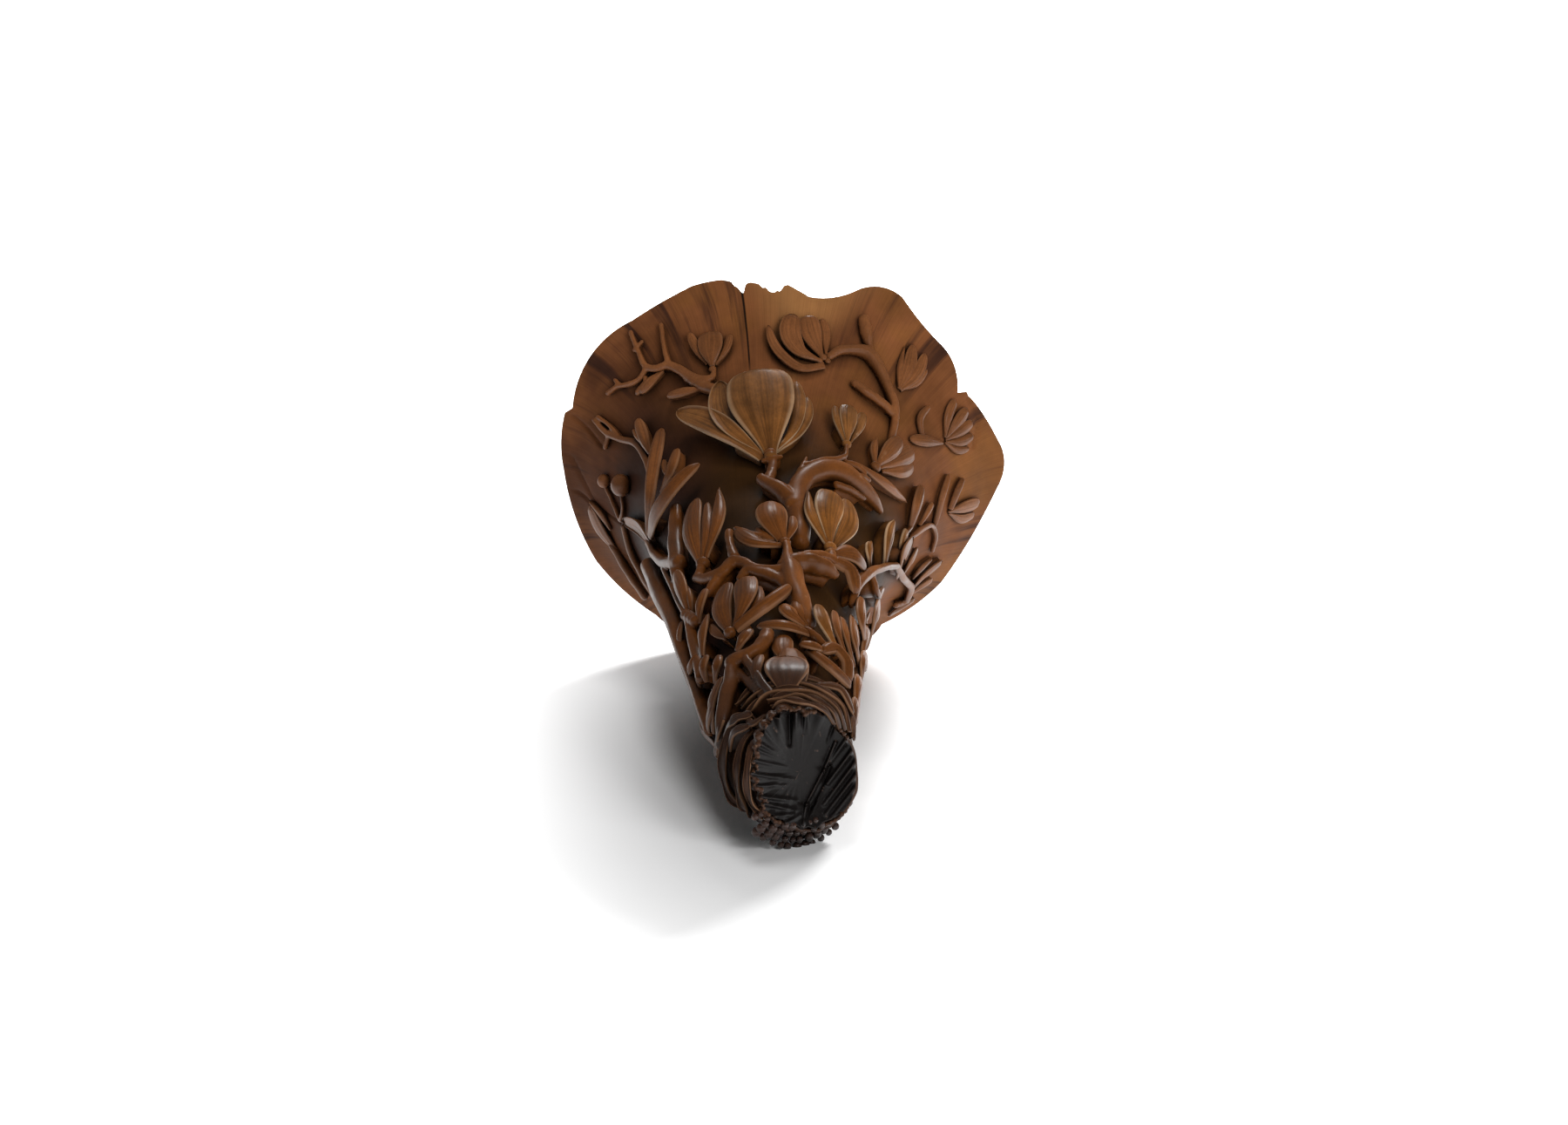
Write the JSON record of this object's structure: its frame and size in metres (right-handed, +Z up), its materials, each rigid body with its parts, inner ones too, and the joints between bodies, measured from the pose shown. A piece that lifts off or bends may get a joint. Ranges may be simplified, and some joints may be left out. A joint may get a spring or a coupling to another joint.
{
  "type": "carved horn cup",
  "caption": "Whole curved horn hollowed from a flared, lobed mouth and carved round with magnolia, bamboo and branches, resting on its side.",
  "frame": {"origin": "bottom centre of the bounding box, on the table that the cup rests on", "axes": "+Z up, -Y towards the tip, +Y out of the mouth, +X to the right as seen from the tip"},
  "size_m": [0.1689, 0.3151, 0.148],
  "materials": {
    "horn": "waxed and polished carved horn, reddish brown with dark streaks",
    "honey_horn": "waxed and polished carved horn, paler honey brown",
    "dark_horn": "waxed and polished carved horn, near black"
  },
  "bodies": {
    "root": {"bamboo_lower_leaf": "horn", "bamboo_stalk": "horn", "bamboo_upper_leaf": "horn", "centre_branch": "horn", "centre_long_leaf": "horn", "centre_right_bud": "honey_horn", "centre_small_bud": "horn", "cross_leaf": "horn", "curved_leaf": "horn", "far_right_blossom": "horn", "finger_leaf": "horn", "horn_body": "horn", "knot_branch": "horn", "left_berries": "horn", "left_berry_stalks": "horn", "left_blossom": "horn", "left_curled_bud": "horn", "left_lower_leaf": "horn", "left_scroll_bud": "horn", "left_small_leaf": "horn", "left_stem": "horn", "left_twig": "horn", "lower_centre_branch": "horn", "lower_left_bloom": "horn", "lower_right_arm": "horn", "lower_right_blossom": "honey_horn", "magnolia_blossom": "honey_horn", "magnolia_left_petal": "honey_horn", "magnolia_stalk": "horn", "orange_leaf": "honey_horn", "pink_bud": "horn", "right_calyx_leaf": "horn", "right_cluster_bud": "horn", "right_edge_blossom": "horn", "right_edge_bud": "horn", "right_fan_blossom": "horn", "right_fretwork": "horn", "right_lower_petal": "horn", "right_under_leaf": "horn", "right_yellow_petals": "honey_horn", "round_leaf": "horn", "seed_cluster": "dark_horn", "tip_band_left": "horn", "tip_band_right": "horn", "tip_inner_leaf": "horn", "tip_leaf": "dark_horn", "tip_middle_leaf": "horn", "tip_outer_leaf": "horn", "tip_rolled_edge": "horn", "under_branch": "horn", "under_left_leaf": "horn", "under_right_leaf": "horn", "upper_left_blossom": "horn", "upper_left_branch": "horn", "upper_left_fan_leaf": "horn", "upper_right_blossom": "horn", "upper_right_branch": "horn", "upper_right_bud": "horn", "upper_right_inner_petal": "horn", "upper_right_outer_petal": "horn"}
  },
  "joints": []
}
